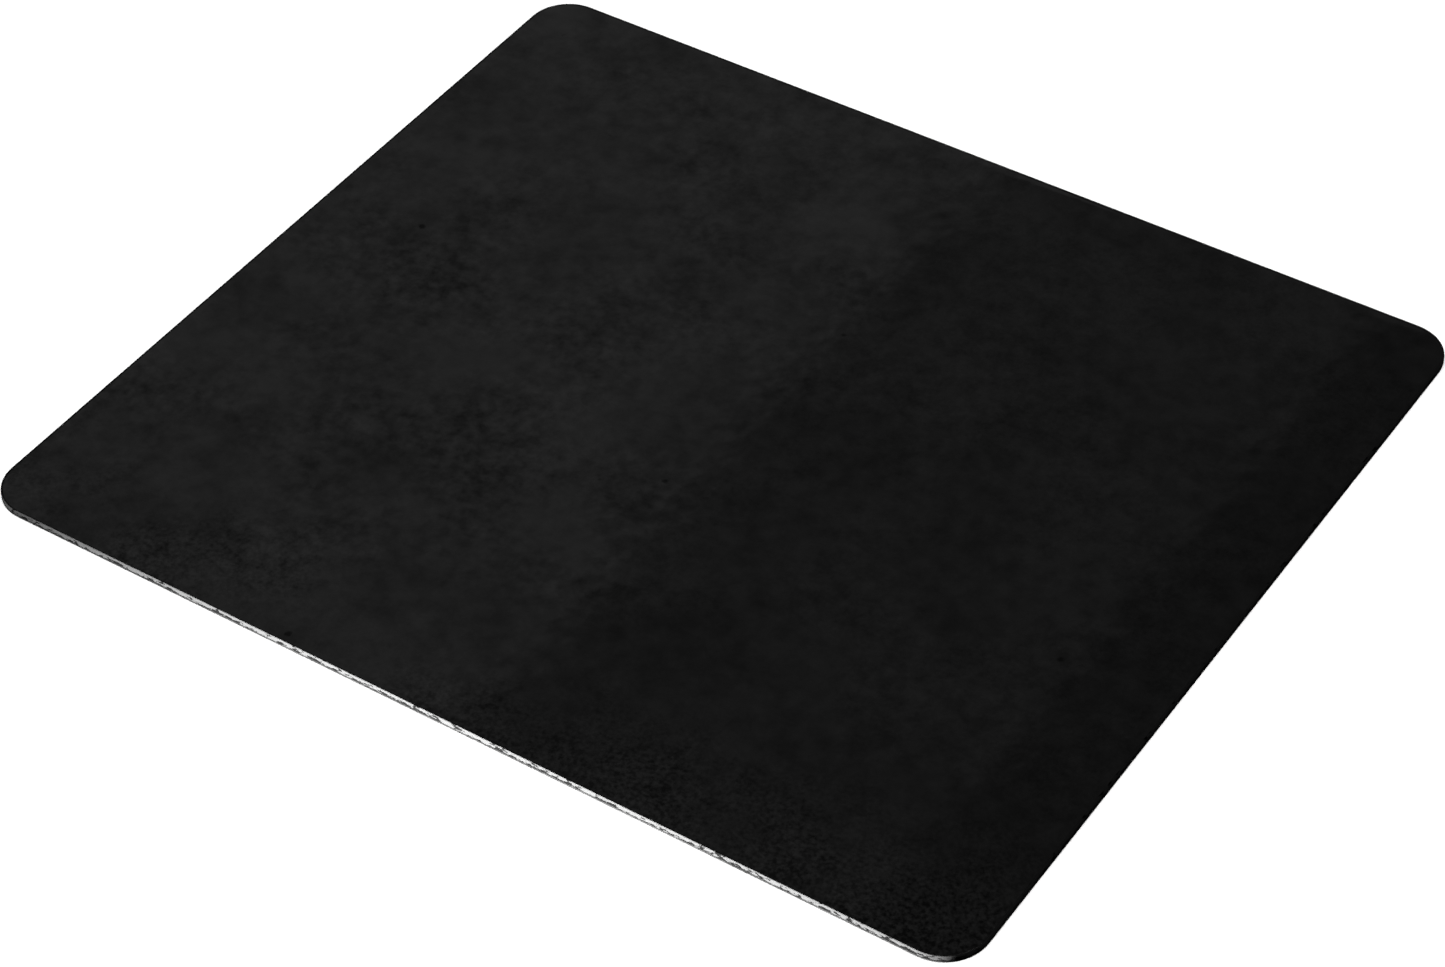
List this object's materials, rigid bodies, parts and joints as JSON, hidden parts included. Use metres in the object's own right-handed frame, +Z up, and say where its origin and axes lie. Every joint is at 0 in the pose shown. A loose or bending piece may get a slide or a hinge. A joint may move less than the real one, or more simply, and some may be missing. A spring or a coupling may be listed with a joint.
{
  "type": "desk mat",
  "caption": "Small flat leatherette desk mat with rounded corners, a painted edge and a non-slip rubber underside, for a mouse or papers.",
  "frame": {"origin": "centre of the underside, where the mat lies on the desk", "axes": "+X along the long side, +Y along the short side, +Z up out of the working surface"},
  "size_m": [0.23, 0.2, 0.0016],
  "materials": {
    "black_leatherette": "fine matte grain with a low sheen",
    "knitted_cloth": "fine knit",
    "adhesive_film": "clear film",
    "fibre_board": "pressed fibre",
    "black_rubber": "matte, with a fine moulded grip pattern",
    "black_edge_paint": "satin"
  },
  "bodies": {
    "root": {"base_sheet": "black_rubber", "lower_adhesive": "adhesive_film", "stiffening_board": "fibre_board", "upper_adhesive": "adhesive_film", "backing_cloth": "knitted_cloth", "surface_skin": "black_leatherette", "edge_coat": "black_edge_paint"}
  },
  "joints": []
}
